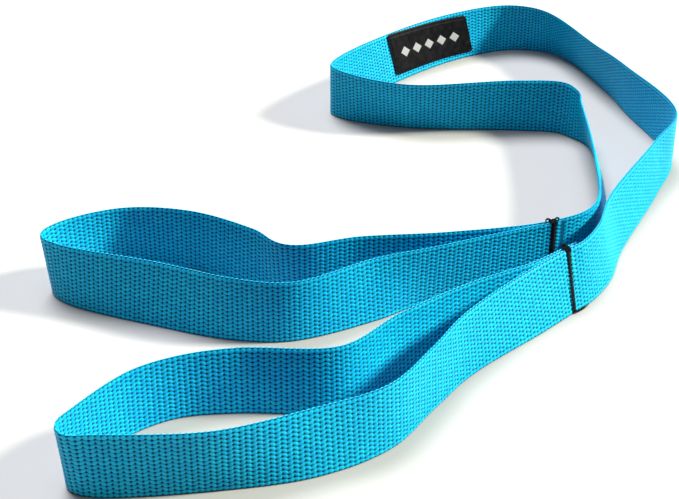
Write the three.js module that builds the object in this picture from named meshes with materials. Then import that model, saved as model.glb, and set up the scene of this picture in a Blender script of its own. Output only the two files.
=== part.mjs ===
// Stretching strap: one long length of woven webbing standing on its edge.
// Each end is folded back and sewn down to make a foot loop, and the long middle
// stretch bends back on itself in an open curve. A woven label is sewn inside it.
// Millimetres, +Z up. The webbing rests on z = 0 and the origin is the middle of its base.
import * as THREE from "three";

// ---- Webbing, thread and label sizes -------------------------------------------------

const webbingWidth = 38;
const webbingThickness = 1.8;
const layerGap = 0.3; // clearance between any two pieces that touch
const layerPitch = webbingThickness + layerGap; // middle of one sewn layer to the next

const tailPastSeam = 9; // folded end beyond the front seam
const rearTailPastSeam = 7; // folded end beyond the rear seam

const seamThreadWidth = 4; // width of the sewn bar, along the strap
const seamThreadThickness = 0.8;
const seamThreadFoot = 0.6; // the bar stops this far above the base

const labelLength = 76;
const labelHeight = 31;
const labelThickness = 0.8;
const labelGap = 0.5; // behind the label, and between it and its stitching
const labelFoot = 4; // lower edge of the label above the edge of the webbing
const labelPastBend = 39; // from the bend of the far span to the label
const stitchInset = 1.5; // label's edge to the stitching
const stitchWidth = 1;
const stitchThickness = 0.5;
const stitchPitch = 6; // spacing of the points that let the stitching follow the strap

// ---- Flex lines: where one rigid length of the chain turns against the next -----------

const uprightFlexInset = 0.3; // end of a length to the flex axis
const leaningFlexInset = 1.5; // the same, where the webbing leans away from the axis
const roundedEndAngles = [0, 35, 65, 80]; // steps of a length's rounded end, in degrees

const pointSteps = 6; // straight steps between two points of the route

// ---- Route of the webbing's lower edge ------------------------------------------------
// [x, y, lean, name]: lean is the tilt of the webbing towards its left side, in degrees,
// as one follows the route from the front foot loop to the rear foot loop.

const routePoints = [
  // front foot loop: inner run, round end, outer run
  [80, -127, -9],
  [43, -147, -6],
  [6, -175, -5],
  [-26, -206, -5],
  [-79, -208, -5],
  [-108, -212, 0],
  [-130, -225, 0],
  [-155, -256, 2],
  [-156, -265, -3],
  [-152, -270, -6],
  [-141, -273, -2],
  [-85, -268, -5],
  [-38, -258, 7],
  [-3, -237, 3],
  [20, -205, 3],
  [41, -176, 8],
  [85, -134, 18],
  [106, -113, 16, "frontSeam"],
  // front arm
  [116, -103, 14],
  [130, -81, 15, "frontLoopFlex"],
  [143, -46, 16],
  [179, 28, 8],
  [197, 75, 0, "frontArmFlex"],
  // far span
  [181, 153, 6],
  [172, 196, 15],
  [143, 266, 14],
  [107, 274, 0, "farBendFlex"],
  [62, 252, -8],
  [9, 203, -14],
  [-34, 155, 0, "rearArmFlex"],
  // rear arm and the lead down to the rear foot loop
  [-26, 144, -3],
  [20, 129, -13],
  [97, 124, 2],
  [126, 120, 5],
  [135, 112, 0, "rearLeadFlex"],
  [145, 97, -14],
  [142, 7, -15],
  [121, -57, 0, "rearLoopFlex"],
  [94, -75, 1, "rearSeam"],
  // rear foot loop: far run, round end, near run
  [35, -88, 1],
  [-16, -94, 0],
  [-57, -98, 7],
  [-79, -87, -4],
  [-117, -66, -4],
  [-159, -60, 2],
  [-193, -89, -6],
  [-186, -103, 1],
  [-128, -129, 12],
  [-86, -142, 5],
  [-53, -143, 0],
  [-6, -122, 8],
  [18, -106, -3],
  [69, -86, -2],
];

// A smooth curve through the points, as a table of stations with their distance along it.
// The curve's third coordinate is the lean.
function makeRoute(points) {
  const knots = points.map(([x, y, lean]) => new THREE.Vector3(x, y, lean));
  const curve = new THREE.CatmullRomCurve3(knots, false, "centripetal");
  const stepCount = (points.length - 1) * pointSteps;
  const stations = [];
  let distance = 0;
  for (let step = 0; step <= stepCount; step++) {
    const point = curve.getPoint(step / stepCount);
    const last = stations[step - 1];
    if (last) distance += Math.hypot(point.x - last.x, point.y - last.y);
    stations.push({ x: point.x, y: point.y, lean: point.z, distance });
  }
  const marks = {};
  points.forEach(([, , , name], index) => {
    if (name) marks[name] = stations[index * pointSteps].distance;
  });
  return { stations, marks, length: distance };
}

// Position and lean at a distance along the route.
function pointAt(route, distance) {
  const { stations } = route;
  let index = stations.findIndex((station) => station.distance > distance);
  if (index < 0) index = stations.length - 1;
  if (index === 0) index = 1;
  const before = stations[index - 1];
  const after = stations[index];
  const share = (distance - before.distance) / (after.distance - before.distance);
  return {
    x: THREE.MathUtils.lerp(before.x, after.x, share),
    y: THREE.MathUtils.lerp(before.y, after.y, share),
    lean: THREE.MathUtils.lerp(before.lean, after.lean, share),
  };
}

// The same with the direction to the left of the route, averaged over a short stretch.
function frameAt(route, distance) {
  const reach = 1.5;
  const behind = pointAt(route, distance - reach);
  const ahead = pointAt(route, distance + reach);
  const left = new THREE.Vector2(behind.y - ahead.y, ahead.x - behind.x).normalize();
  return { ...pointAt(route, distance), left };
}

// A point of the webbing: `across` to the left of its middle, `height` up its width.
function place(frame, across, height) {
  const lean = THREE.MathUtils.degToRad(frame.lean);
  const sideways = across + height * Math.sin(lean);
  return new THREE.Vector3(
    frame.x + frame.left.x * sideways,
    frame.y + frame.left.y * sideways,
    height * Math.cos(lean),
  );
}

// Route points of a folded layer that lies on the left of the strap, at these distances.
function layerPoints(route, distances) {
  return distances.map((distance) => {
    const frame = frameAt(route, distance);
    const point = place(frame, layerPitch, 0);
    return [point.x, point.y, -frame.lean];
  });
}

const openRoute = makeRoute(routePoints);
const frontFold = openRoute.marks.frontSeam;
const rearFold = openRoute.marks.rearSeam;
const route = makeRoute([
  ...layerPoints(openRoute, [frontFold + tailPastSeam, frontFold + 3, frontFold - 3]),
  ...routePoints,
  ...layerPoints(openRoute, [
    rearFold + 9,
    rearFold + 3,
    rearFold - 3,
    rearFold - rearTailPastSeam,
  ]),
]);
const { marks } = route;

// ---- Solids ---------------------------------------------------------------------------

// Sections of a rounded end: distance in from the end, and share of the full thickness.
function roundedEnd(radius) {
  return roundedEndAngles.map((angle) => {
    const turn = THREE.MathUtils.degToRad(angle);
    return { inset: radius * (1 - Math.sin(turn)), share: Math.cos(turn) };
  });
}

// A closed length of webbing or label between two distances along the route.
function ribbon(from, to, { thickness, middle = 0, low = 0, high, roundStart, roundEnd }) {
  const ends = roundedEnd(thickness / 2);
  const sections = [];
  if (roundStart) {
    for (const { inset, share } of [...ends].reverse()) {
      sections.push({ distance: from + inset, share });
    }
  } else {
    sections.push({ distance: from, share: 1 });
  }
  const clear = thickness; // keeps the route's own stations off the end sections
  for (const { distance } of route.stations) {
    if (distance > from + clear && distance < to - clear) {
      sections.push({ distance, share: 1 });
    }
  }
  if (roundEnd) {
    for (const { inset, share } of ends) {
      sections.push({ distance: to - inset, share });
    }
  } else {
    sections.push({ distance: to, share: 1 });
  }

  const corners = [];
  for (const { distance, share } of sections) {
    const frame = frameAt(route, distance);
    const half = (thickness / 2) * share;
    corners.push(place(frame, middle - half, low));
    corners.push(place(frame, middle + half, low));
    corners.push(place(frame, middle + half, high));
    corners.push(place(frame, middle - half, high));
  }
  const faces = [0, 3, 2, 0, 2, 1];
  for (let ring = 0; ring < corners.length - 4; ring += 4) {
    for (let corner = 0; corner < 4; corner++) {
      const a = ring + corner;
      const b = ring + ((corner + 1) % 4);
      faces.push(a, b, b + 4, a, b + 4, a + 4);
    }
  }
  const end = corners.length - 4;
  faces.push(end, end + 1, end + 2, end, end + 2, end + 3);

  const geometry = new THREE.BufferGeometry().setFromPoints(corners);
  geometry.setIndex(faces);
  return geometry;
}

// Moves every vertex of a geometry to where `mapping` puts it.
function bend(geometry, mapping) {
  const { position } = geometry.attributes;
  for (let index = 0; index < position.count; index++) {
    const spot = mapping(position.getX(index), position.getY(index), position.getZ(index));
    position.setXYZ(index, spot.x, spot.y, spot.z);
  }
  geometry.computeVertexNormals();
  return geometry;
}

// A sewn bar that holds two layers: down both faces and over the upper edge.
function seamBar(seam) {
  const innerRight = -webbingThickness / 2 - layerGap;
  const innerLeft = layerPitch + webbingThickness / 2 + layerGap;
  const innerTop = webbingWidth + layerGap;
  const outerRight = innerRight - seamThreadThickness;
  const outerLeft = innerLeft + seamThreadThickness;
  const outerTop = innerTop + seamThreadThickness;
  const outline = new THREE.Shape();
  outline.moveTo(outerRight, seamThreadFoot);
  outline.lineTo(innerRight, seamThreadFoot);
  outline.lineTo(innerRight, innerTop);
  outline.lineTo(innerLeft, innerTop);
  outline.lineTo(innerLeft, seamThreadFoot);
  outline.lineTo(outerLeft, seamThreadFoot);
  outline.lineTo(outerLeft, outerTop);
  outline.lineTo(outerRight, outerTop);
  outline.closePath();
  const bar = new THREE.ExtrudeGeometry(outline, {
    depth: seamThreadWidth,
    bevelEnabled: false,
  });
  return bend(bar, (across, height, along) =>
    place(frameAt(route, seam - seamThreadWidth / 2 + along), across, height),
  );
}

// Corners and in-between points of a rectangle, followed anticlockwise.
function rectanglePoints(inset) {
  const left = inset;
  const right = labelLength - inset;
  const bottom = labelFoot + inset;
  const top = labelFoot + labelHeight - inset;
  const steps = Math.round((right - left) / stitchPitch);
  const points = [];
  for (let step = 0; step <= steps; step++) {
    const x = THREE.MathUtils.lerp(left, right, step / steps);
    points.push(new THREE.Vector2(x, bottom));
  }
  for (let step = steps; step >= 0; step--) {
    const x = THREE.MathUtils.lerp(left, right, step / steps);
    points.push(new THREE.Vector2(x, top));
  }
  return points;
}

const labelStart = marks.farBendFlex + labelPastBend;
const labelEnd = labelStart + labelLength;
const labelMiddle = webbingThickness / 2 + labelGap + labelThickness / 2;
const stitchBack = labelMiddle + labelThickness / 2 + labelGap;

// The row of stitches round the label, as one thin frame on the label's face.
function labelStitches() {
  const outline = new THREE.Shape(rectanglePoints(stitchInset));
  const hole = rectanglePoints(stitchInset + stitchWidth).reverse();
  outline.holes.push(new THREE.Path(hole));
  const frame = new THREE.ExtrudeGeometry(outline, {
    depth: stitchThickness,
    bevelEnabled: false,
  });
  return bend(frame, (along, height, depth) =>
    place(frameAt(route, labelEnd - along), stitchBack + depth, height),
  );
}

// ---- Materials ------------------------------------------------------------------------

function woven(color, roughness) {
  return new THREE.MeshStandardMaterial({ color, roughness, metalness: 0 });
}

// ---- Scene graph ----------------------------------------------------------------------

const strap = new THREE.Group();

function addPiece(name, geometry, material) {
  const piece = new THREE.Mesh(geometry, material);
  piece.name = name;
  strap.add(piece);
}

// The lengths of webbing in order, each ending at the flex line it is joined at.
const lengths = [
  { name: "front_loop_webbing", flex: "frontLoopFlex", inset: leaningFlexInset },
  { name: "front_arm_webbing", flex: "frontArmFlex", inset: uprightFlexInset },
  { name: "far_span_webbing", flex: "farBendFlex", inset: uprightFlexInset },
  { name: "label_span_webbing", flex: "rearArmFlex", inset: uprightFlexInset },
  { name: "rear_arm_webbing", flex: "rearLeadFlex", inset: uprightFlexInset },
  { name: "rear_lead_webbing", flex: "rearLoopFlex", inset: uprightFlexInset },
  { name: "rear_loop_webbing" },
];

let start = 0;
for (const { name, flex, inset } of lengths) {
  const finish = flex ? marks[flex] - inset : route.length;
  const geometry = ribbon(start, finish, {
    thickness: webbingThickness,
    high: webbingWidth,
    roundStart: start > 0,
    roundEnd: finish < route.length,
  });
  addPiece(name, geometry, woven(0x16b4d8, 0.55));
  start = marks[flex] + inset;
}

addPiece("front_seam_thread", seamBar(marks.frontSeam), woven(0x101114, 0.7));
addPiece("rear_seam_thread", seamBar(marks.rearSeam), woven(0x101114, 0.7));

const label = ribbon(labelStart, labelEnd, {
  thickness: labelThickness,
  middle: labelMiddle,
  low: labelFoot,
  high: labelFoot + labelHeight,
});
addPiece("label", label, woven(0x17171a, 0.6));
addPiece("label_stitching", labelStitches(), woven(0x0c0c0e, 0.7));

export default strap;
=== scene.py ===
"""A stretching strap: one length of woven webbing standing on its edge, folded back and sewn at
both ends into foot loops, with a woven label sewn inside its middle bend.

Metres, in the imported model's frame: the webbing rests on z = 0 and follows a route over the floor.
"""
import math

import bpy
import numpy as np
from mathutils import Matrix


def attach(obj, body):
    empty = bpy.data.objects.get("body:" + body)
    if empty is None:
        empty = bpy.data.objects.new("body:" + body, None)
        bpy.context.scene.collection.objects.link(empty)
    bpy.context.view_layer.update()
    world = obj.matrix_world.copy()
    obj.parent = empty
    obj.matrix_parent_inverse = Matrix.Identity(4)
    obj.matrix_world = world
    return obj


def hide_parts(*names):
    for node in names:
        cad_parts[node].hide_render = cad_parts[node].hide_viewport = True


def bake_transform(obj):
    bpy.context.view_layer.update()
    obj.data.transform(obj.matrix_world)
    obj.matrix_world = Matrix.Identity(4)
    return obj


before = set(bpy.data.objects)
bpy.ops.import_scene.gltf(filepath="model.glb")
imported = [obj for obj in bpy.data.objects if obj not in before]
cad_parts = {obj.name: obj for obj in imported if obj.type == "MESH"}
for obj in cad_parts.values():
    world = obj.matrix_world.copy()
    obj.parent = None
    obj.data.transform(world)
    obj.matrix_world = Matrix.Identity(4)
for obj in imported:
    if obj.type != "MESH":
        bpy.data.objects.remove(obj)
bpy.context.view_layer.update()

MM = 0.001

# ---- Camera -------------------------------------------------------------------------------

CAMERA_TARGET = (-0.028, -0.044, 0.0)
CAMERA_DISTANCE = 0.8468
CAMERA_ELEVATION = math.radians(30.323)
CAMERA_LENS = 73.85  # mm
SENSOR_WIDTH = 36.0  # mm
CLIP_START = 0.02
CLIP_END = 20


def add_camera():
    """The camera, looking along +y and down at its target."""
    data = bpy.data.cameras.new("camera")
    data.sensor_fit = "HORIZONTAL"
    data.sensor_width = SENSOR_WIDTH
    data.lens = CAMERA_LENS
    data.clip_start = CLIP_START
    data.clip_end = CLIP_END
    camera = bpy.data.objects.new("camera", data)
    x, y, z = CAMERA_TARGET
    back = CAMERA_DISTANCE * math.cos(CAMERA_ELEVATION)
    up = CAMERA_DISTANCE * math.sin(CAMERA_ELEVATION)
    camera.location = (x, y - back, z + up)
    camera.rotation_euler = (math.radians(90) - CAMERA_ELEVATION, 0, 0)
    bpy.context.scene.collection.objects.link(camera)
    bpy.context.scene.camera = camera


add_camera()

# ---- Sizes --------------------------------------------------------------------------------

WEBBING_WIDTH = 38 * MM
WEBBING_THICKNESS = 1.8 * MM
LAYER_PITCH = 2.1 * MM  # middle of one sewn layer to the middle of the next
FRONT_TAIL = 9 * MM  # folded end beyond the front seam
REAR_TAIL = 7 * MM  # folded end beyond the rear seam

LABEL_LENGTH = 76 * MM
LABEL_HEIGHT = 31 * MM
LABEL_FOOT = 4 * MM  # label's lower rim above the webbing's lower edge
LABEL_PAST_BEND = 39 * MM  # from the far bend's flex line to the label

# ---- Route of the webbing's lower edge ----------------------------------------------------
# (x, y, lean, name): lean is the tilt of the webbing towards its left side, in degrees, as one
# follows the route from the front foot loop to the rear foot loop.

ROUTE_POINTS = [
    # front foot loop: inner run, round end, outer run
    (0.080, -0.127, -9, ""),
    (0.043, -0.147, -6, ""),
    (0.006, -0.175, -5, ""),
    (-0.026, -0.206, -5, ""),
    (-0.079, -0.208, -5, ""),
    (-0.108, -0.212, 0, ""),
    (-0.130, -0.225, 0, ""),
    (-0.155, -0.256, 2, ""),
    (-0.156, -0.265, -3, ""),
    (-0.152, -0.270, -6, ""),
    (-0.141, -0.273, -2, ""),
    (-0.085, -0.268, -5, ""),
    (-0.038, -0.258, 7, ""),
    (-0.003, -0.237, 3, ""),
    (0.020, -0.205, 3, ""),
    (0.041, -0.176, 8, ""),
    (0.085, -0.134, 18, ""),
    (0.106, -0.113, 16, "front_seam"),
    # front arm
    (0.116, -0.103, 14, ""),
    (0.130, -0.081, 15, "front_loop_flex"),
    (0.143, -0.046, 16, ""),
    (0.179, 0.028, 8, ""),
    (0.197, 0.075, 0, "front_arm_flex"),
    # far span
    (0.181, 0.153, 6, ""),
    (0.172, 0.196, 15, ""),
    (0.143, 0.266, 14, ""),
    (0.107, 0.274, 0, "far_bend_flex"),
    (0.062, 0.252, -8, ""),
    (0.009, 0.203, -14, ""),
    (-0.034, 0.155, 0, "rear_arm_flex"),
    # rear arm and the lead down to the rear foot loop
    (-0.026, 0.144, -3, ""),
    (0.020, 0.129, -13, ""),
    (0.097, 0.124, 2, ""),
    (0.126, 0.120, 5, ""),
    (0.135, 0.112, 0, "rear_lead_flex"),
    (0.145, 0.097, -14, ""),
    (0.142, 0.007, -15, ""),
    (0.121, -0.057, 0, "rear_loop_flex"),
    (0.094, -0.075, 1, "rear_seam"),
    # rear foot loop: far run, round end, near run
    (0.035, -0.088, 1, ""),
    (-0.016, -0.094, 0, ""),
    (-0.057, -0.098, 7, ""),
    (-0.079, -0.087, -4, ""),
    (-0.117, -0.066, -4, ""),
    (-0.159, -0.060, 2, ""),
    (-0.193, -0.089, -6, ""),
    (-0.186, -0.103, 1, ""),
    (-0.128, -0.129, 12, ""),
    (-0.086, -0.142, 5, ""),
    (-0.053, -0.143, 0, ""),
    (-0.006, -0.122, 8, ""),
    (0.018, -0.106, -3, ""),
    (0.069, -0.086, -2, ""),
]

STEPS_PER_SPAN = 24
LEAN_SCALE = 1000  # where the knots are spaced, a degree of lean counts as a millimetre
DIRECTION_REACH = 1.5 * MM  # the route's direction is taken over this far each way
FRONT_FOLD = (FRONT_TAIL, 3 * MM, -3 * MM)  # knots of the front folded layer, past its seam
REAR_FOLD = (9 * MM, 3 * MM, -3 * MM, -REAR_TAIL)


class Route:
    """A smooth line through points of (x, y, lean, name), with the distance along it."""

    def __init__(self, points):
        knots = np.array([(x * LEAN_SCALE, y * LEAN_SCALE, lean) for x, y, lean, _ in points])
        line = self.smooth(knots)
        self.x, self.y = line[:, 0] / LEAN_SCALE, line[:, 1] / LEAN_SCALE
        self.lean = np.radians(line[:, 2])
        steps = np.hypot(np.diff(self.x), np.diff(self.y))
        self.distance = np.concatenate([[0], np.cumsum(steps)])
        self.length = self.distance[-1]
        self.marks = {
            name: self.distance[index * STEPS_PER_SPAN]
            for index, (_, _, _, name) in enumerate(points)
            if name
        }

    @staticmethod
    def smooth(knots):
        """Centripetal Catmull-Rom curve through the knots."""
        first, last = 2 * knots[0] - knots[1], 2 * knots[-1] - knots[-2]
        padded = np.vstack([first, knots, last])
        share = np.linspace(0, 1, STEPS_PER_SPAN, endpoint=False)[:, None]
        parts = []
        for before, start, end, after in zip(padded, padded[1:], padded[2:], padded[3:]):
            gap_in = math.sqrt(np.linalg.norm(start - before))
            gap = math.sqrt(np.linalg.norm(end - start))
            gap_out = math.sqrt(np.linalg.norm(after - end))
            leave = (start - before) / gap_in - (end - before) / (gap_in + gap) + (end - start) / gap
            arrive = (end - start) / gap - (after - start) / (gap + gap_out) + (after - end) / gap_out
            parts.append(
                (2 * share**3 - 3 * share**2 + 1) * start
                + (share**3 - 2 * share**2 + share) * gap * leave
                + (3 * share**2 - 2 * share**3) * end
                + (share**3 - share**2) * gap * arrive
            )
        return np.vstack(parts + [knots[-1:]])

    def at(self, distance):
        """x, y and lean at each distance along the route."""
        return tuple(np.interp(distance, self.distance, value) for value in (self.x, self.y, self.lean))

    def left(self, distance):
        """Unit vector to the left of the route, averaged over a short stretch."""
        x0, y0, _ = self.at(np.clip(distance - DIRECTION_REACH, 0, self.length))
        x1, y1, _ = self.at(np.clip(distance + DIRECTION_REACH, 0, self.length))
        size = np.hypot(x1 - x0, y1 - y0)
        return (y0 - y1) / size, (x1 - x0) / size

    def place(self, distance, across, height):
        """Points `across` to the left of the webbing's middle and `height` up its width."""
        distance, across, height = np.broadcast_arrays(distance, across, height)
        x, y, lean = self.at(distance)
        left_x, left_y = self.left(distance)
        past = distance - np.clip(distance, 0, self.length)
        x, y = x + left_y * past, y - left_x * past
        sideways = across + height * np.sin(lean)
        points = [x + left_x * sideways, y + left_y * sideways, height * np.cos(lean)]
        return np.stack(points, axis=-1)

    def layer_point(self, distance):
        """Route point of a folded layer on the webbing's left. The layer runs the other way, so
        its lean changes sign."""
        x, y, _ = self.place(distance, LAYER_PITCH, 0)
        return (x, y, -math.degrees(self.at(distance)[2]), "")


def full_route():
    """The whole webbing, from the folded end at the front seam to the one at the rear seam."""
    open_route = Route(ROUTE_POINTS)
    front, rear = open_route.marks["front_seam"], open_route.marks["rear_seam"]
    head = [open_route.layer_point(front + past) for past in FRONT_FOLD]
    tail = [open_route.layer_point(rear + past) for past in REAR_FOLD]
    return Route(head + ROUTE_POINTS + tail)


route = full_route()
marks = route.marks

# ---- Weave --------------------------------------------------------------------------------
# The warp yarns run along the webbing in rows that step up and down from column to column.

COLUMNS = 824  # over the whole length
COLUMN = route.length / COLUMNS
ROWS = 15
STEPS_PER_COLUMN = 3
STEPS_PER_ROW = 4
ZIGZAG = 1.3 * MM  # height of the zigzag from one column to the next
RELIEF = 0.90 * MM  # depth of the hollows between the yarns
PROUD = 0.02 * MM  # crests beyond the nominal thickness
EDGE = 0.55 * MM  # height of the rounded selvedge
EDGE_SINK = 0.55  # share of the relief by which the selvedge lies below each face's crests
SCALLOP = 0.16 * MM  # rise and fall of the selvedge over each column
EDGE_ANGLES = np.radians([35, 90, 145])
CALM_ROWS = 1.5  # the zigzag dies out over this many rows towards each edge
BESIDE_DEPTH = 0.42  # shares of the relief: between rows, between columns, where both meet
DIP_DEPTH = 0.34
PIT_DEPTH = 0.24
DIP_POWER = 2.5
SELVEDGE_LEVEL = 0.62  # relief on the selvedge, and its swing over each column; it only sets the selvedge's colour and roughness, laying painted shade into its dips
SELVEDGE_SWING = 0.38
MELTED = 2.3 * MM  # length of a heat-cut end
MELT_FADE = 0.8 * MM  # length over which it turns into full weave
MELTED_LEVEL = 0.75  # relief of the flattened, heat-cut end
MELTED_THICKNESS = 0.72  # share of the webbing's thickness left there

# ---- Mesh helpers -------------------------------------------------------------------------


def make_object(name, points, faces, material, flat_faces=(), attributes=None):
    """A mesh object with smooth faces, then flat ones, and float attributes on its points."""
    mesh = bpy.data.meshes.new(name)
    mesh.from_pydata(points.tolist(), [], [*faces, *flat_faces])
    smooth = np.arange(len(mesh.polygons)) < len(faces)
    mesh.polygons.foreach_set("use_smooth", smooth)
    for key, values in (attributes or {}).items():
        attribute = mesh.attributes.new(key, "FLOAT", "POINT")
        attribute.data.foreach_set("value", np.asarray(values, np.float32).ravel())
    mesh.materials.append(material)
    piece = bpy.data.objects.new(name, mesh)
    bpy.context.scene.collection.objects.link(piece)
    return piece


def grid_faces(rings, ring_size):
    """Quads between closed rings of points, facing out where the rings run anticlockwise."""
    ring, spot = np.meshgrid(np.arange(rings - 1), np.arange(ring_size), indexing="ij")
    after = (spot + 1) % ring_size
    a, b = ring * ring_size + spot, ring * ring_size + after
    return np.stack([a, b, b + ring_size, a + ring_size], axis=-1).reshape(-1, 4).tolist()


TUBE_SIDES = 6
TUBE_START = (0.3, 0.2, 0.9)  # any direction that no path starts along


def tube(path, radius):
    """Points and faces of a closed round tube along a path."""
    path = np.asarray(path, float)
    ahead = np.gradient(path, axis=0)
    ahead /= np.linalg.norm(ahead, axis=1)[:, None]
    side = np.cross(ahead[0], TUBE_START)
    turns = np.arange(TUBE_SIDES) * 2 * np.pi / TUBE_SIDES
    rings = []
    for spot, forward in zip(path, ahead):
        side = side - forward * (side @ forward)
        side /= np.linalg.norm(side)
        up = np.cross(forward, side)
        rings.append(spot + radius * (np.outer(np.cos(turns), side) + np.outer(np.sin(turns), up)))
    faces = grid_faces(len(path), TUBE_SIDES)
    faces.append(list(range(TUBE_SIDES))[::-1])
    faces.append([(len(path) - 1) * TUBE_SIDES + k for k in range(TUBE_SIDES)])
    return np.vstack(rings), faces


def join(parts):
    """One set of points and faces from several."""
    points, faces = [], []
    first = 0
    for part_points, part_faces in parts:
        points.append(part_points)
        faces += [[corner + first for corner in face] for face in part_faces]
        first += len(part_points)
    return np.vstack(points), faces


# ---- Webbing ------------------------------------------------------------------------------

SIDE_POINTS = ROWS * STEPS_PER_ROW + 1
EDGE_POINTS = len(EDGE_ANGLES)
RING_POINTS = 2 * SIDE_POINTS + 2 * EDGE_POINTS


def weave_relief(rows, columns):
    """1 on the crest of a yarn, less in the hollow beside it and where it dips under at the end of
    a column, and 0 in the pit where both meet."""
    beside = (2 * (rows % 1) - 1) ** 2
    dip = np.abs(2 * (columns % 1) - 1) ** DIP_POWER
    return 1 - BESIDE_DEPTH * beside - DIP_DEPTH * dip - PIT_DEPTH * beside * dip


def zigzag(distance):
    """From 1 to 0 and back over two columns."""
    return np.abs((distance / (2 * COLUMN)) % 1 * 2 - 1)


def grid_normals(points):
    """Normals of closed rings of points, leaving out the first and the last ring."""
    along = points[2:] - points[:-2]
    around = np.roll(points, -1, axis=1) - np.roll(points, 1, axis=1)
    normals = np.cross(around[1:-1], along)
    return normals / np.linalg.norm(normals, axis=-1, keepdims=True)


def webbing(name, first, last, material):
    """A closed length of webbing between two columns of its weave."""
    steps = np.arange(first * STEPS_PER_COLUMN - 1, last * STEPS_PER_COLUMN + 2)
    along = steps / STEPS_PER_COLUMN * COLUMN
    from_end = np.minimum(along, route.length - along)
    woven = np.clip((from_end - MELTED) / MELT_FADE, 0, 1)

    side = np.linspace(0, 1, SIDE_POINTS)
    rows = side * ROWS
    inside = np.clip(np.minimum(rows, ROWS - rows) / CALM_ROWS, 0, 1)
    u = along[:, None]
    full = woven[:, None]
    shift = (zigzag(u) - 0.5) * ZIGZAG * inside * full
    height = EDGE + (WEBBING_WIDTH - 2 * EDGE) * side + shift
    relief = weave_relief(rows, u / COLUMN)
    relief = relief * full + MELTED_LEVEL * (1 - full)
    thin = MELTED_THICKNESS + (1 - MELTED_THICKNESS) * full
    face = (WEBBING_THICKNESS / 2 + PROUD) * thin - RELIEF * (1 - relief)

    swing = np.cos(2 * np.pi * u / COLUMN)
    scallop = SCALLOP * swing * full
    reach = (WEBBING_THICKNESS / 2 - RELIEF * EDGE_SINK) * thin
    edge_across = -np.cos(EDGE_ANGLES) * reach
    edge_rise = (EDGE + scallop) * np.sin(EDGE_ANGLES)

    across = np.concatenate([-face, edge_across, face[:, ::-1], -edge_across], axis=1)
    top = WEBBING_WIDTH - EDGE + edge_rise
    bottom = EDGE - edge_rise
    heights = np.concatenate([height, top, height[:, ::-1], bottom], axis=1)
    heights = np.maximum(heights, 0)
    # The selvedge's relief paints shade into its dips between columns; it does not shape the edge.
    selvedge = SELVEDGE_LEVEL + SELVEDGE_SWING * swing * np.ones(EDGE_POINTS)
    reliefs = np.concatenate([relief, selvedge, relief[:, ::-1], selvedge], axis=1)
    edge_rows = np.zeros((len(along), EDGE_POINTS))
    sides = np.broadcast_to(rows, relief.shape)
    row_numbers = np.concatenate([sides, edge_rows + ROWS, sides[:, ::-1], edge_rows], axis=1)
    points = route.place(u, across, heights)
    normals = grid_normals(points)
    attributes = {
        "relief": reliefs,
        "column": np.broadcast_to(u / COLUMN, reliefs.shape),
        "row": row_numbers,
        "melted": np.broadcast_to(1 - full, reliefs.shape),
    }
    attributes = {key: values[1:-1] for key, values in attributes.items()}
    rings = len(along) - 2
    faces = grid_faces(rings, RING_POINTS)
    caps = end_cap(0, False) + end_cap(rings - 1, True)
    piece = make_object(name, points[1:-1].reshape(-1, 3), faces, material, caps, attributes)
    piece.data.normals_split_custom_set_from_vertices(normals.reshape(-1, 3))
    return piece


def end_cap(ring, at_end):
    """Faces that close one ring: a strip between its two sides, and one face at each edge."""
    base = ring * RING_POINTS
    opposite = 2 * SIDE_POINTS + EDGE_POINTS - 1
    faces = []
    for spot in range(SIDE_POINTS - 1):
        faces.append([base + k for k in (spot, spot + 1, opposite - spot - 1, opposite - spot)])
    faces.append([base + k for k in range(SIDE_POINTS - 1, SIDE_POINTS + EDGE_POINTS + 1)])
    faces.append([base + k for k in range(opposite, RING_POINTS)] + [base])
    return faces if at_end else [face[::-1] for face in faces]


# ---- Sewn seams ---------------------------------------------------------------------------

THREAD_RADIUS = 0.24 * MM
CURL_RADIUS = 0.38 * MM
SEAM_HALF_WIDTH = 2.0 * MM
SEAM_PITCH = 0.5 * MM  # from one stitch up to the next
SEAM_FOOT = 0.9 * MM
REACH_VARIES = (0.88, 1.1)  # least and greatest share of the half width that a stitch reaches
WRAPS = 8  # turns of thread over the upper edge
WRAP_CLEARANCE = 0.15 * MM  # from the webbing's faces out to the wraps
WRAP_HEIGHT_VARIES = (-0.04, 0.08)  # mm
WRAP_PLACE_VARIES = (-0.1, 0.1)  # mm

# One stitch from side to side: (share of the half width, mm proud of the face).
STITCH_SHAPE = [(-1, -0.30), (-0.7, 0.16), (0, 0.26), (0.7, 0.16)]

# One wrap from the right face to the left one: (share of the way, mm above the upper edge).
WRAP_SHAPE = [
    (0, -1.6),
    (0.02, -0.3),
    (0.12, 0.30),
    (0.5, 0.42),
    (0.88, 0.30),
    (0.98, -0.3),
    (1, -1.6),
]

# Loose thread at the seams, in mm: (along the route, to its left, up), and for a curl its size.
FRONT_CURLS = [(1.4, 3.2, 38.4, 0.6)]
REAR_CURLS = [(3.7, 1.5, 39.3, 1.3), (-2.2, 1.6, 39.0, 1.1)]
FRONT_TAILS = [
    [
        (-4.0, -1.1, 1.5),
        (-2.5, -1.4, 0.7),
        (0.5, -1.5, 0.3),
        (4.0, -1.5, 0.3),
        (7.0, -1.5, 0.7),
        (9.5, -1.4, 1.6),
    ],
    [(-3.5, -1.1, 2.2), (-2.0, -1.4, 1.2), (0.5, -1.4, 0.7), (3.0, -1.4, 0.7), (6.5, -1.4, 1.2)],
    [(-3.0, -1.1, 2.6), (-1.5, -1.4, 1.7), (0.5, -1.4, 1.1), (3.0, -1.4, 1.1), (5.0, -1.4, 1.4)],
]
REAR_TAILS = []
FRONT_SLANT = 3 * MM  # how far the seam's foot lies behind its top, along the route
REAR_SLANT = 0.0

CURL_TURNS = (-0.35, 1.15)
CURL_STEPS = 16
CURL_DRIFT = 1.3  # thread radii to each side, so that the curl passes beside itself

random = np.random.default_rng(11)


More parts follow.
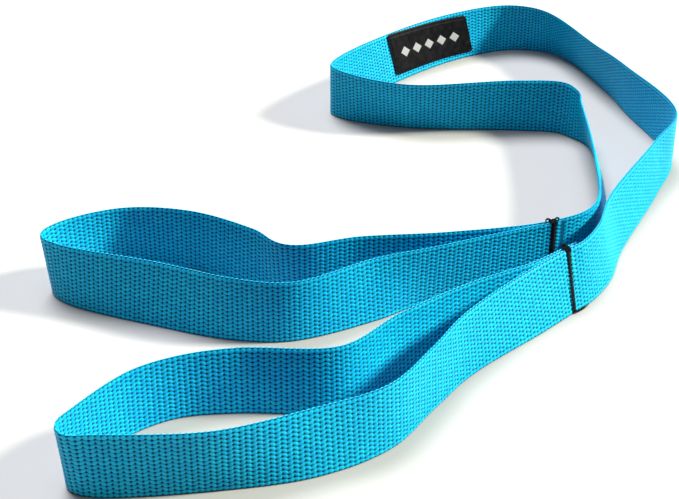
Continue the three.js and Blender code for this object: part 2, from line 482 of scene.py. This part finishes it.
def seam_stitches(name, mark, slant, curls, tails, material):
    """A dense zigzag of thread up both faces of two layers, and over their upper edge."""
    middle = marks[mark]
    right = -WEBBING_THICKNESS / 2
    left = LAYER_PITCH + WEBBING_THICKNESS / 2
    parts = []
    for face, outward in ((right, -1), (left, 1)):
        path = []
        count = int((WEBBING_WIDTH - 2 * SEAM_FOOT) / SEAM_PITCH)
        for stitch in range(count):
            way = 1 if stitch % 2 else -1
            reach = SEAM_HALF_WIDTH * random.uniform(*REACH_VARIES)
            for share, proud in STITCH_SHAPE:
                height = SEAM_FOOT + (stitch + (share + 1) / 2) * SEAM_PITCH
                along = way * share * reach + slant * (height / WEBBING_WIDTH - 1)
                path.append((along, face + outward * proud * MM, height))
        parts.append(seam_tube(middle, path))
    path = []
    for wrap in range(WRAPS):
        along = (2 * (wrap + 0.5) / WRAPS - 1) * SEAM_HALF_WIDTH
        shape = WRAP_SHAPE if wrap % 2 else WRAP_SHAPE[::-1]
        for share, rise in shape:
            across = right - WRAP_CLEARANCE + share * (left - right + 2 * WRAP_CLEARANCE)
            height = WEBBING_WIDTH + (rise + random.uniform(*WRAP_HEIGHT_VARIES)) * MM
            path.append((along + random.uniform(*WRAP_PLACE_VARIES) * MM, across, height))
    parts.append(seam_tube(middle, path))
    for along, across, height, size in curls:
        path = curl_path(along * MM, across * MM, height * MM, size * MM)
        parts.append(seam_tube(middle, path, CURL_RADIUS))
    for tail in tails:
        parts.append(seam_tube(middle, np.array(tail) * MM))
    points, faces = join(parts)
    return make_object(name, points, faces, material)


def seam_tube(middle, path, radius=THREAD_RADIUS):
    """A tube along a path of (along, across, height) around the seam's middle."""
    along, across, height = np.array(path).T
    return tube(route.place(middle + along, across, height), radius)


def curl_path(along, across, height, size):
    """A small, slightly uneven curl of thread that stands up from the seam."""
    turns = np.linspace(*CURL_TURNS, CURL_STEPS) * 2 * np.pi
    reach = size * (1 + 0.12 * np.sin(1.7 * turns))
    drift = np.linspace(-1, 1, len(turns)) * CURL_DRIFT * THREAD_RADIUS
    curl = [along + reach * np.sin(turns), across + drift, height + reach * np.cos(turns)]
    return np.stack(curl, axis=-1)


# ---- Label --------------------------------------------------------------------------------

LABEL_CORNER = 2.6 * MM
LABEL_SHIFTS = {  # (along, up) of each corner: the label is sewn on slightly out of square
    "low_left": (1.5 * MM, 1.3 * MM),
    "low_right": (7.0 * MM, 0.4 * MM),
    "high_left": (-1.8 * MM, 2.6 * MM),
    "high_right": (0.7 * MM, -0.4 * MM),
}
LABEL_CELL = 0.5 * MM
LABEL_RIM = 0.40 * MM  # front face above the webbing, at the rim and in the middle
LABEL_BODY = 1.05 * MM
LABEL_SWELL = 3.5 * MM  # width over which it rises from one to the other
LABEL_SHEET = 0.35 * MM  # thickness
LABEL_CLEARANCE = 0.02 * MM  # least gap between the label's back and the webbing
STITCH_INSET = 1.9 * MM
FURROW_DEPTH = 0.28 * MM  # pressed in by the stitches
FURROW_WIDTH = 0.55 * MM
LOZENGES = 5
LOZENGE_PITCH = 12 * MM
LOZENGE_HALF = (4.6 * MM, 4.2 * MM)
LOZENGE_PROUD = 0.10 * MM
LOZENGE_SOFTNESS = 0.25
LABEL_STITCH = 2.3 * MM
LABEL_STITCH_GAP = 0.7 * MM
STITCH_END = 0.6 * MM  # from a corner of the row of stitches to its first stitch
STITCH_SHARE = (0.12, 0.88)  # part of its pitch that a stitch takes up
STITCH_RISE = np.array([0.25, 0.85, 1.0, 1.0, 0.85, 0.25]) * 0.75 * MM
STITCH_LIFT = 0.05 * MM
LABEL_THREAD_RADIUS = THREAD_RADIUS * 0.9

label_start = marks["far_bend_flex"] + LABEL_PAST_BEND
label_end = label_start + LABEL_LENGTH
web_face = WEBBING_THICKNESS / 2 + PROUD


def on_label(x, height, proud):
    """A point of the label, from its left end as seen from the front and its height on it."""
    right, up = x / LABEL_LENGTH, height / LABEL_HEIGHT
    weights = {
        "low_left": (1 - right) * (1 - up),
        "low_right": right * (1 - up),
        "high_left": (1 - right) * up,
        "high_right": right * up,
    }
    slide = sum(weight * LABEL_SHIFTS[corner][0] for corner, weight in weights.items())
    rise = sum(weight * LABEL_SHIFTS[corner][1] for corner, weight in weights.items())
    return route.place(label_end - x - slide, web_face + proud, LABEL_FOOT + height + rise)


def corner_trim(height):
    """How far the rounded corners cut into the label's ends at this height."""
    into = np.clip(LABEL_CORNER - np.minimum(height, LABEL_HEIGHT - height), 0, LABEL_CORNER)
    return LABEL_CORNER - np.sqrt(LABEL_CORNER**2 - into**2)


def lozenge_mask(x, height):
    """1 on the row of plain lozenges and 0 off it, with soft rims."""
    middle = LABEL_LENGTH / 2
    place = (x - middle) / LOZENGE_PITCH
    nearest = np.clip(np.round(place), -(LOZENGES // 2), LOZENGES // 2)
    across = np.abs(place - nearest) * LOZENGE_PITCH / LOZENGE_HALF[0]
    up = np.abs(height - LABEL_HEIGHT / 2) / LOZENGE_HALF[1]
    return np.clip((1 - across - up) / LOZENGE_SOFTNESS, 0, 1)


def woven_label(material):
    """A thin sheet with rounded corners, swelling a little between its stitches."""
    columns = round(LABEL_LENGTH / LABEL_CELL)
    rows = round(LABEL_HEIGHT / LABEL_CELL)
    across_label = np.linspace(0, 1, columns + 1)
    up_label = np.linspace(0, LABEL_HEIGHT, rows + 1)
    share, height = np.meshgrid(across_label, up_label)
    trim = corner_trim(height)
    x = trim + share * (LABEL_LENGTH - 2 * trim)
    inset = np.minimum.reduce([x, LABEL_LENGTH - x, height, LABEL_HEIGHT - height])
    swell = np.clip(inset / LABEL_SWELL, 0, 1)
    front = LABEL_RIM + (LABEL_BODY - LABEL_RIM) * np.sin(swell * np.pi / 2)
    front -= FURROW_DEPTH * np.exp(-(((inset - STITCH_INSET) / FURROW_WIDTH) ** 2))
    front += LOZENGE_PROUD * lozenge_mask(x, height)
    back = np.maximum(front - LABEL_SHEET, LABEL_CLEARANCE)
    faces_points = [on_label(x, height, front), on_label(x, height, back)]
    points = np.concatenate([face.reshape(-1, 3) for face in faces_points])
    count = (columns + 1) * (rows + 1)
    row, column = np.meshgrid(np.arange(rows), np.arange(columns), indexing="ij")
    a = (row * (columns + 1) + column).ravel()
    front_quads = np.stack([a, a + 1, a + columns + 2, a + columns + 1], axis=-1)
    back_quads = front_quads[:, ::-1] + count
    rim = np.concatenate([
        np.arange(columns),
        np.arange(rows) * (columns + 1) + columns,
        rows * (columns + 1) + np.arange(columns, 0, -1),
        np.arange(rows, 0, -1) * (columns + 1),
    ])
    after = np.roll(rim, -1)
    rim_quads = np.stack([after, rim, rim + count, after + count], axis=-1)
    faces = np.concatenate([front_quads, back_quads, rim_quads]).tolist()
    attributes = {"label_x": np.tile(x.ravel(), 2), "label_height": np.tile(height.ravel(), 2)}
    return make_object("woven_label", points, faces, material, attributes=attributes)


def label_stitches(material):
    """A row of short stitches round the label."""
    left, right = STITCH_INSET, LABEL_LENGTH - STITCH_INSET
    low, high = STITCH_INSET, LABEL_HEIGHT - STITCH_INSET
    corners = [(left, low), (right, low), (right, high), (left, high), (left, low)]
    parts = []
    for (x0, h0), (x1, h1) in zip(corners, corners[1:]):
        side = math.hypot(x1 - x0, h1 - h0)
        span = side - 2 * STITCH_END
        count = round(span / (LABEL_STITCH + LABEL_STITCH_GAP))
        for stitch in range(count):
            start, end = ((STITCH_END + (stitch + part) * span / count) / side for part in STITCH_SHARE)
            share = np.linspace(start, end, len(STITCH_RISE))
            path = on_label(x0 + share * (x1 - x0), h0 + share * (h1 - h0), STITCH_RISE + STITCH_LIFT)
            parts.append(tube(path, LABEL_THREAD_RADIUS))
    points, faces = join(parts)
    return make_object("label_stitches", points, faces, material)


# ---- Materials ----------------------------------------------------------------------------

FIRST_COLOUR, SECOND_COLOUR, MIXED_COLOUR = 6, 7, 2  # numbers of the Mix node's colour sockets


class Nodes:
    """A material's node tree, with short calls for the nodes used here."""

    def __init__(self, name):
        self.material = bpy.data.materials.new(name)
        self.material.use_nodes = True
        self.tree = self.material.node_tree
        self.shader = self.tree.nodes["Principled BSDF"]

    def link(self, source, socket):
        if isinstance(source, bpy.types.NodeSocket):
            self.tree.links.new(source, socket)
        else:
            socket.default_value = source

    def attribute(self, name):
        node = self.tree.nodes.new("ShaderNodeAttribute")
        node.attribute_name = name
        return node.outputs["Fac"]

    def math(self, operation, *values):
        node = self.tree.nodes.new("ShaderNodeMath")
        node.operation = operation
        for value, socket in zip(values, node.inputs):
            self.link(value, socket)
        return node.outputs[0]

    def spread(self, value, low, high, to_low=0.0, to_high=1.0):
        """Maps value smoothly from low..high to to_low..to_high."""
        node = self.tree.nodes.new("ShaderNodeMapRange")
        node.interpolation_type = "SMOOTHSTEP"
        for source, socket in zip((value, low, high, to_low, to_high), node.inputs):
            self.link(source, socket)
        return node.outputs[0]

    def mix(self, factor, first, second):
        """One colour turning into another as factor goes from 0 to 1."""
        node = self.tree.nodes.new("ShaderNodeMix")
        node.data_type = "RGBA"
        self.link(factor, node.inputs["Factor"])
        for source, socket in ((first, FIRST_COLOUR), (second, SECOND_COLOUR)):
            colour = source if isinstance(source, bpy.types.NodeSocket) else (*source, 1)
            self.link(colour, node.inputs[socket])
        return node.outputs[MIXED_COLOUR]

    def combine(self, x, y):
        node = self.tree.nodes.new("ShaderNodeCombineXYZ")
        self.link(x, node.inputs["X"])
        self.link(y, node.inputs["Y"])
        return node.outputs[0]

    def cell_noise(self, vector):
        """One random number for each whole-number cell of the vector."""
        node = self.tree.nodes.new("ShaderNodeTexWhiteNoise")
        node.noise_dimensions = "3D"
        self.link(vector, node.inputs["Vector"])
        return node.outputs["Value"]

    def noise(self, scale, detail=3.0):
        node = self.tree.nodes.new("ShaderNodeTexNoise")
        coordinates = self.tree.nodes.new("ShaderNodeTexCoord")
        self.link(coordinates.outputs["Object"], node.inputs["Vector"])
        node.inputs["Scale"].default_value = scale
        node.inputs["Detail"].default_value = detail
        return node.outputs["Fac"]

    def bump(self, height, strength, distance):
        node = self.tree.nodes.new("ShaderNodeBump")
        node.inputs["Strength"].default_value = strength
        node.inputs["Distance"].default_value = distance
        self.link(height, node.inputs["Height"])
        self.link(node.outputs["Normal"], self.shader.inputs["Normal"])

    def set(self, **sockets):
        """Sets or links the shader's own sockets, named with _ for a space."""
        for key, source in sockets.items():
            self.link(source, self.shader.inputs[key.replace("_", " ")])


CREST_COLOUR = (0.000, 0.38, 0.69)
PALE_COLOUR = (0.006, 0.60, 0.82)
# Painted shade: the dark colour laid into the hollows and pits between the yarns, where shade falls.
HOLLOW_SHADE_COLOUR = (0.000, 0.010, 0.042)
MELTED_COLOUR = (0.002, 0.045, 0.13)
HOLLOW_BELOW, CREST_ABOVE = 0.20, 0.88  # relief below which only the painted hollow shade shows, and above which only the yarn colour shows
PALE_SHARE = 0.35  # the most that pale yarn mixes in
YARN_WEIGHT, PATCH_WEIGHT = 0.45, 0.5  # what makes yarn pale: each yarn's own chance, and patches
MELTED_SHARE = 0.85
FILAMENTS = 6  # ridges in each row
HOLLOW_ROUGHNESS, CREST_ROUGHNESS = 0.9, 0.38
ROUGHNESS_VARIES = 0.12
WEBBING_SPECULAR = 0.12

# Scales of the noise, as waves to the metre.
WEBBING_PATCHES = 22.0
WEBBING_FUZZ = 2600.0
THREAD_PATCHES = 900.0
THREAD_PLIES = 5200.0
LABEL_PATCHES = 240.0

THREAD_COLOURS = ((0.001, 0.001, 0.0015), (0.005, 0.005, 0.007))
LABEL_COLOURS = ((0.002, 0.002, 0.003), (0.008, 0.0075, 0.010))
LOZENGE_COLOURS = ((0.22, 0.22, 0.235), (0.44, 0.44, 0.46))
BLACK_SPECULAR = 0.06
WEFT_PITCH = 0.42 * MM  # of the label's own fine weave
WARP_PITCH = 0.55 * MM


def webbing_material():
    """Painted shade in the hollows and pits between the yarns, bright yarns of slightly different
    blues, and dull melted ends.
    """
    n = Nodes("webbing")
    relief, column, row = n.attribute("relief"), n.attribute("column"), n.attribute("row")
    melted = n.attribute("melted")
    # crest is 1 on the yarns and 0 in the hollows and pits, which it darkens with painted shade.
    crest = n.spread(relief, HOLLOW_BELOW, CREST_ABOVE)
    cell = n.combine(n.math("FLOOR", column), n.math("FLOOR", row))
    yarn = n.cell_noise(cell)
    patch = n.noise(WEBBING_PATCHES)
    lift = n.math("ADD", n.math("MULTIPLY", yarn, YARN_WEIGHT), n.math("MULTIPLY", patch, PATCH_WEIGHT))
    yarn_colour = n.mix(n.spread(lift, 0.25, 0.75, 0.0, PALE_SHARE), CREST_COLOUR, PALE_COLOUR)
    # Painted shade in the hollows and pits between the yarns.
    colour = n.mix(crest, HOLLOW_SHADE_COLOUR, yarn_colour)
    colour = n.mix(n.math("MULTIPLY", melted, MELTED_SHARE), colour, MELTED_COLOUR)
    filament_wave = n.math("SINE", n.math("MULTIPLY", row, 2 * math.pi * FILAMENTS))
    fuzz = n.noise(WEBBING_FUZZ, 2.0)
    height = n.math("ADD", n.math("MULTIPLY", filament_wave, 0.5), fuzz)
    n.bump(height, 0.35, 0.05 * MM)
    rough = n.spread(crest, 0.0, 1.0, HOLLOW_ROUGHNESS, CREST_ROUGHNESS)
    uneven = n.math("MULTIPLY", n.math("SUBTRACT", patch, 0.5), ROUGHNESS_VARIES)
    rough = n.math("ADD", rough, uneven)
    n.set(Base_Color=colour, Roughness=rough, Sheen_Weight=0.01, Sheen_Roughness=0.4)
    n.set(Specular_IOR_Level=WEBBING_SPECULAR)
    return n.material


def thread_material():
    """Black thread with a trace of its plies."""
    n = Nodes("thread")
    patch = n.noise(THREAD_PATCHES, 2.0)
    colour = n.mix(n.spread(patch, 0.3, 0.7), *THREAD_COLOURS)
    plies = n.noise(THREAD_PLIES, 1.0)
    n.bump(plies, 0.5, 0.06 * MM)
    n.set(Base_Color=colour, Roughness=n.spread(patch, 0.2, 0.8, 0.45, 0.65))
    n.set(Specular_IOR_Level=BLACK_SPECULAR)
    return n.material


def label_material():
    """Black weave with a row of plain pale lozenges."""
    n = Nodes("label")
    x, height = n.attribute("label_x"), n.attribute("label_height")
    place = n.math("DIVIDE", n.math("SUBTRACT", x, LABEL_LENGTH / 2), LOZENGE_PITCH)
    last = LOZENGES // 2
    nearest = n.math("MAXIMUM", n.math("MINIMUM", n.math("ROUND", place), last), -last)
    off = n.math("ABSOLUTE", n.math("SUBTRACT", place, nearest))
    across = n.math("MULTIPLY", off, LOZENGE_PITCH / LOZENGE_HALF[0])
    up = n.math("ABSOLUTE", n.math("SUBTRACT", height, LABEL_HEIGHT / 2))
    up = n.math("DIVIDE", up, LOZENGE_HALF[1])
    mark = n.spread(n.math("ADD", across, up), 0.93, 1.0, 1.0, 0.0)
    weft = n.math("SINE", n.math("MULTIPLY", height, 2 * math.pi / WEFT_PITCH))
    warp = n.math("SINE", n.math("MULTIPLY", x, 2 * math.pi / WARP_PITCH))
    weave = n.math("MULTIPLY_ADD", weft, 0.5, n.math("MULTIPLY", warp, 0.25))
    patch = n.noise(LABEL_PATCHES)
    ground = n.mix(n.spread(patch, 0.3, 0.7), *LABEL_COLOURS)
    pale = n.mix(n.spread(weave, -0.6, 0.6), *LOZENGE_COLOURS)
    n.bump(weave, 0.45, 0.05 * MM)
    n.set(Base_Color=n.mix(mark, ground, pale), Roughness=n.spread(weave, -0.7, 0.7, 0.62, 0.45))
    n.set(Specular_IOR_Level=BLACK_SPECULAR)
    return n.material


# ---- Stage --------------------------------------------------------------------------------

FLOOR_HALF = 15.0
FLOOR_COLOUR = (0.34, 0.34, 0.345, 1)
WORLD_COLOUR = (0.96, 0.98, 1.0, 1)
WORLD_STRENGTH = 0.10
SUNS = [  # name, azimuth, elevation, softness, energy, colour
    ("key", 4, 34, 10, 8.2, (1.0, 0.985, 0.80)),
    ("back", 115, 64, 30, 6.0, (0.97, 0.98, 1.0)),
    ("overhead", 0, 90, 36, 1.0, (0.97, 0.98, 1.0)),
]


def add_sun(name, azimuth, elevation, softness, energy, colour):
    """A distant lamp. Azimuth and elevation, in degrees, say where its light comes from, and
    softness is how wide it looks from here."""
    data = bpy.data.lights.new(name, "SUN")
    data.energy = energy
    data.angle = math.radians(softness)
    data.color = colour
    light = bpy.data.objects.new(name, data)
    light.rotation_euler = (0, math.radians(90 - elevation), math.radians(azimuth))
    bpy.context.scene.collection.objects.link(light)


def add_stage():
    """A pale floor under a dim, even sky, and the suns."""
    mesh = bpy.data.meshes.new("floor")
    corners = [(x * FLOOR_HALF, y * FLOOR_HALF, 0) for x, y in ((-1, -1), (1, -1), (1, 1), (-1, 1))]
    mesh.from_pydata(corners, [], [(0, 1, 2, 3)])
    floor = bpy.data.objects.new("floor", mesh)
    bpy.context.scene.collection.objects.link(floor)
    n = Nodes("floor")
    n.set(Base_Color=FLOOR_COLOUR, Roughness=0.9)
    mesh.materials.append(n.material)

    world = bpy.data.worlds.new("studio")
    world.use_nodes = True
    background = world.node_tree.nodes["Background"]
    background.inputs["Color"].default_value = WORLD_COLOUR
    background.inputs["Strength"].default_value = WORLD_STRENGTH
    bpy.context.scene.world = world
    for sun in SUNS:
        add_sun(*sun)


# ---- Assembly -----------------------------------------------------------------------------

LOOP_COLUMNS = 259  # in each piece that holds a foot loop

# Each length of webbing: the CAD nodes it stands for, the bodies at its two ends, where on the
# floor its bend from the first to the second starts and ends, and how it is held.
LENGTHS = [
    {
        "name": "front_foot_loop",
        "nodes": ["front_loop_webbing"],
        "bodies": ("front_arm", "front_loop"),
        "bend": ((0.140, -0.052, 0), (0.113, -0.101, 0)),
        "held": "folded",
    },
    {
        "name": "front_arm",
        "nodes": ["front_arm_webbing"],
        "bodies": ("front_arm", "far_span"),
        "bend": ((0.197, 0.031, 0), (0.197, 0.116, 0)),
        "held": "laid",
    },
    {
        "name": "far_span",
        "nodes": ["far_span_webbing"],
        "bodies": ("far_span", "label_span"),
        "bend": ((0.140, 0.268, 0), (0.075, 0.262, 0)),
        "held": "laid",
    },
    {
        "name": "label_span",
        "nodes": ["label_span_webbing"],
        "bodies": ("label_span", "rear_arm"),
        "bend": ((-0.034, 0.181, 0), (-0.034, 0.128, 0)),
        "held": "laid",
    },
    {
        "name": "rear_arm",
        "nodes": ["rear_arm_webbing"],
        "bodies": ("rear_arm", "rear_lead"),
        "bend": ((0.115, 0.132, 0), (0.152, 0.095, 0)),
        "held": "laid",
    },
    {
        "name": "rear_foot_loop",
        "nodes": ["rear_lead_webbing", "rear_loop_webbing"],
        "bodies": ("rear_lead", "rear_loop"),
        "bend": ((0.135, -0.025, 0), (0.106, -0.071, 0)),
        "held": "folded",
    },
]


def column_between(mark, next_mark):
    """The column nearest to half way between two marks."""
    return round((marks[mark] + marks[next_mark]) / 2 / COLUMN)


def add_webbing():
    """The webbing's six lengths, each a piece of its own, cut between columns of its weave."""
    cuts = [
        0,
        LOOP_COLUMNS,
        column_between("front_arm_flex", "far_bend_flex"),
        column_between("far_bend_flex", "rear_arm_flex"),
        column_between("rear_arm_flex", "rear_lead_flex"),
        COLUMNS - LOOP_COLUMNS,
        COLUMNS,
    ]
    material = webbing_material()
    for length, first, last in zip(LENGTHS, cuts, cuts[1:]):
        piece = webbing(length["name"], first, last, material)
        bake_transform(piece)
        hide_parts(*length["nodes"])


def add_seams_and_label():
    """The pieces sewn to the webbing, each riding on one body."""
    thread = thread_material()
    front = seam_stitches(
        "front_seam_stitches", "front_seam", FRONT_SLANT, FRONT_CURLS, FRONT_TAILS, thread
    )
    rear = seam_stitches("rear_seam_stitches", "rear_seam", REAR_SLANT, REAR_CURLS, REAR_TAILS, thread)
    label = woven_label(label_material())
    stitches = label_stitches(thread)
    fittings = [
        (front, "front_loop", "front_seam_thread", "thread"),
        (rear, "rear_loop", "rear_seam_thread", "thread"),
        (label, "label_span", "label", "label"),
        (stitches, "label_span", "label_stitching", "thread"),
    ]
    for piece, body, node, slot in fittings:
        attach(piece, body)
        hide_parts(node)


bpy.context.scene.view_settings.view_transform = "Standard"
add_stage()
add_webbing()
add_seams_and_label()
